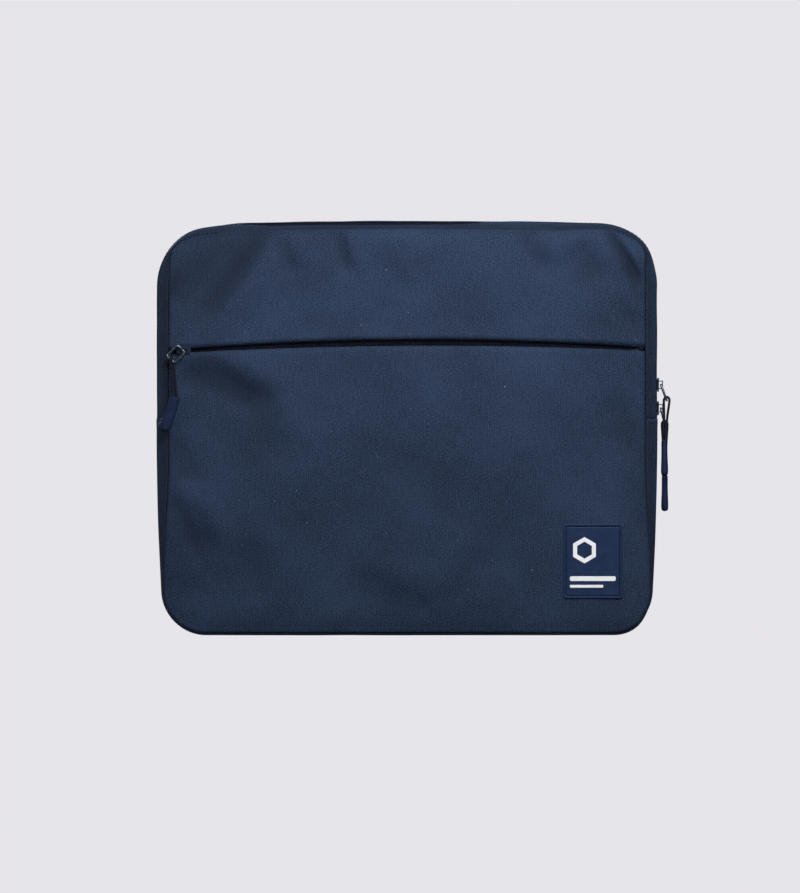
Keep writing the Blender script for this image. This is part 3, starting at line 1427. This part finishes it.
SIDE_LEAN = math.radians(9)
POCKET_LEAN = math.radians(16)
TIP_SETTLE = {"upper": (-1.9, 0.0, -1.2), "lower": (0.0, 0.0, 1.4)}
GRIP_WIDE = 3.35
GRIP_THIN = 2.25


def add_pulls():
    for pull, lean in (("upper", SIDE_LEAN), ("lower", 0.0)):
        tip_low, tip_high = cad_box(f"{pull}_tip")
        cord_low, cord_high = cad_box(f"{pull}_cord")
        down = np.array((0.0, -math.sin(lean), -math.cos(lean)))
        end_z = cord_high[2] - CORD_BEND * CORD_TOP - CORD_THICKNESS / 2
        middle = (tip_low + tip_high) / 2 + np.array(TIP_SETTLE[pull])
        top = middle - down * 13.0
        rise = (end_z - top[2]) / math.cos(lean)
        end = top - down * rise
        end[0] = (cord_low[0] + cord_high[0]) / 2
        top_in = top + down * 0.6
        cord, length, exit_at = hung_cord(pull, end, top_in, (0, 1, 0), 1)
        tip = moulded_tip(pull, top, down, (0, 1, 0), GRIP_WIDE, GRIP_THIN)
    tip_low, tip_high = cad_box("pocket_tip")
    cord_low, cord_high = cad_box("pocket_cord")
    down = np.array((-math.sin(POCKET_LEAN), 0.0, -math.cos(POCKET_LEAN)))
    middle = (tip_low + tip_high) / 2
    top = middle - down * 13.0
    end = np.array((top[0], middle[1], cord_high[2] - CORD_BEND * CORD_TOP - CORD_THICKNESS / 2))
    top = top + np.array((2.4, 0.0, -3.4))
    cord, length, exit_at = hung_cord("pocket", end, top + down * 0.8, (1, 0, 0), 1)
    tip = moulded_tip("pocket", top, down, (1, 0, 0), GRIP_WIDE + 0.3, GRIP_THIN, curl=-1.6)


# ---------------------------------------------------------------- seam stitches
SIDE_STITCH_TOP = 291.0


def add_seam_stitches():
    inset = 0.4
    upper = [i for i in open_run(BEND_START[2] / MM - 2, True)]
    route = []
    for i in upper:
        place = SEAM[i] - RING_NORMAL[i] * inset
        depth = float(front_depth_at(np.array([place[0]]), np.array([place[1]]))[0])
        route.append((place[0], -depth + 0.1, place[1]))
    stitches = stitched_line("front_top_stitches", route, 0.42, highest=SIDE_STITCH_TOP)
    bend(stitches)
    join = []
    for side in (-1, 1):
        z = ZIP_END_Z - 2.0
        index = int(np.argmin(np.abs(RING[:, 1] - z) + 1000 * (np.sign(RING[:, 0]) != side)))
        for y in np.linspace(-SEAM_Y + 0.3, SEAM_Y - 0.3, 24):
            depth = gusset_depth(np.array([y]), np.array([z]), BOTTOM_LIFT + 0.1)[0] - join_lift(z)
            place = RING[index] - RING_NORMAL[index] * depth
            join.append((place[0], y, z))
        seam = stitched_line(f"gusset_join_{'right' if side > 0 else 'left'}", join, 0.18)
        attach(seam, "root")
        join = []


add_camera()
add_stage()
add_front_panels()
add_back_panel()
add_gussets()
add_gusset_linings()
add_bindings()
add_inner_layers()
add_main_zip()
add_pocket_zip()
add_label()
add_hardware()
add_pulls()
add_seam_stitches()
